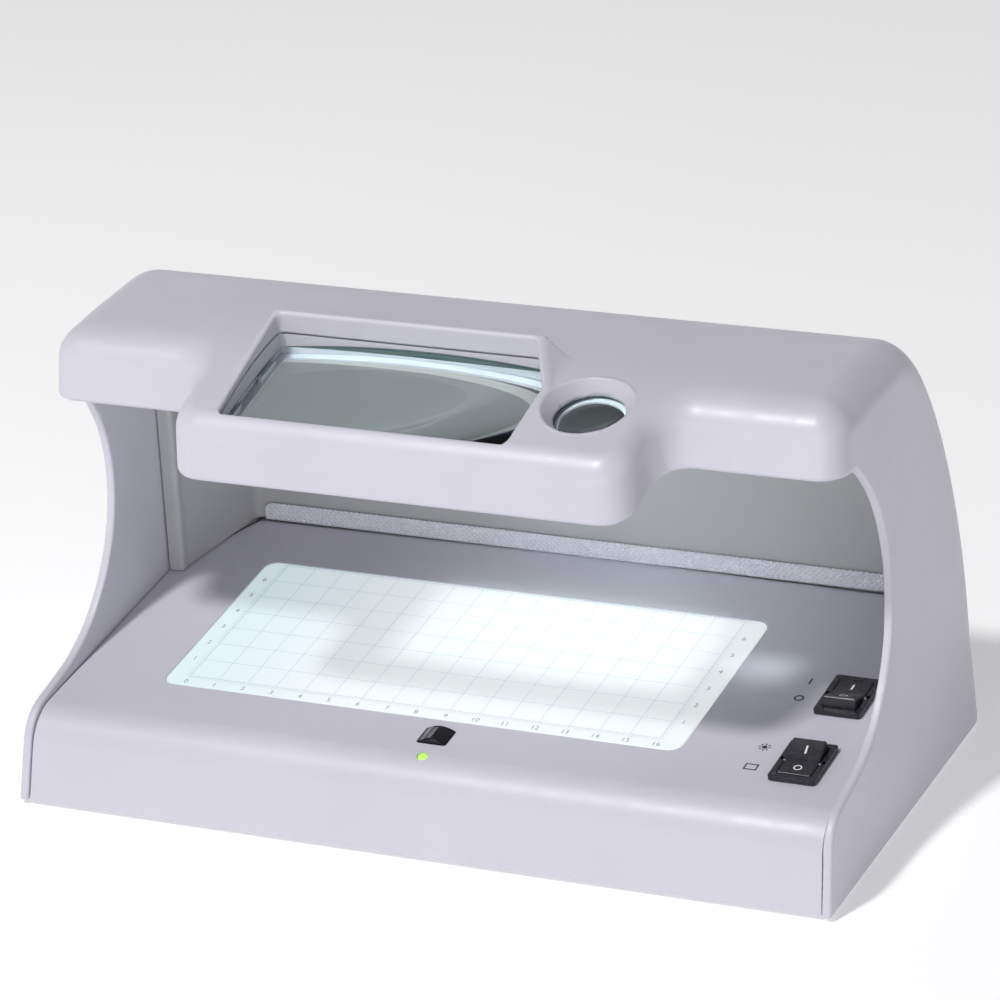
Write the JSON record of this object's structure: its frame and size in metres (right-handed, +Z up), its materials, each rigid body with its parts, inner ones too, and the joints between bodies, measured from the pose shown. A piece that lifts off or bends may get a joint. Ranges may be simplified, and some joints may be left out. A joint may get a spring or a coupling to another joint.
{
  "type": "counterfeit bill detector",
  "caption": "Desktop banknote checker: hooded viewing bay with a lit ruler panel, rectangular and round magnifiers in the hood, a magnetic head, an indicator and rocker switches.",
  "frame": {"origin": "centre of the footprint on the table, under the rubber feet", "axes": "+X to the user's right along the width, +Y to the rear, +Z up"},
  "size_m": [0.2718, 0.1442, 0.1489],
  "materials": {
    "shell_plastic": "fine matt moulded texture, light lavender grey",
    "liner_plastic": "fine matt moulded texture, mid grey",
    "strip_plastic": "diamond knurled, satin light grey",
    "opal_panel": "translucent opal white, printed with a fine ruler grid",
    "lens_glass": "polished, with a faint green tint at the edges",
    "black_plastic": "satin black",
    "head_chrome": "polished, dark",
    "steel": "plain pressed",
    "brass": "stamped",
    "led_lens": "clear epoxy, lit green",
    "rubber": "matt",
    "white_plastic": "plain moulded white",
    "uv_glass": "dark violet lamp glass with metal end caps",
    "lamp_glass": "white coated lamp glass with metal end caps",
    "circuit_board": "green solder mask",
    "ferrite": "dark wound core",
    "sleeve": "shrink sleeve"
  },
  "bodies": {
    "housing": {"upper_shell": "shell_plastic", "base_tray": "shell_plastic", "bottom_cover": "shell_plastic", "rear_liner": "liner_plastic", "rear_strip": "strip_plastic", "lamp_cover": "white_plastic", "uv_tube": "uv_glass", "uv_tube_holder_left": "white_plastic", "uv_tube_holder_right": "white_plastic", "uv_reflector": "steel", "magnifier_lens": "lens_glass", "lens_frame": "shell_plastic", "lens_retainer": "shell_plastic", "round_lens": "lens_glass", "round_lens_ring": "shell_plastic", "viewing_panel": "opal_panel", "light_tray": "white_plastic", "white_tube": "lamp_glass", "white_tube_holder_left": "white_plastic", "white_tube_holder_right": "white_plastic", "power_switch_housing": "black_plastic", "power_terminal_1": "brass", "power_terminal_2": "brass", "mode_switch_housing": "black_plastic", "mode_terminal_1": "brass", "mode_terminal_2": "brass", "magnetic_head": "head_chrome", "head_bracket": "steel", "indicator_led": "led_lens", "ballast_board": "circuit_board", "transformer": "ferrite", "capacitor_1": "sleeve", "capacitor_2": "sleeve", "amplifier_board": "circuit_board", "buzzer": "black_plastic", "mains_inlet": "black_plastic", "foot_1": "rubber", "cover_screw_1": "steel", "hood_screw_1": "steel", "foot_2": "rubber", "cover_screw_2": "steel", "hood_screw_2": "steel", "foot_3": "rubber", "cover_screw_3": "steel", "hood_screw_3": "steel", "foot_4": "rubber", "cover_screw_4": "steel", "hood_screw_4": "steel"},
    "power_rocker": {"power_rocker": "black_plastic"},
    "mode_rocker": {"mode_rocker": "black_plastic"}
  },
  "joints": [
    {"name": "power_rock", "type": "hinge", "parent": "housing", "child": "power_rocker", "pos_m": [0.1144, 0.00365, 0.03343], "axis": [1, 0, 0], "range_deg": [0, 24]},
    {"name": "mode_rock", "type": "hinge", "parent": "housing", "child": "mode_rocker", "pos_m": [0.1144, -0.03445, 0.03049], "axis": [1, 0, 0], "range_deg": [-24, 0]}
  ]
}
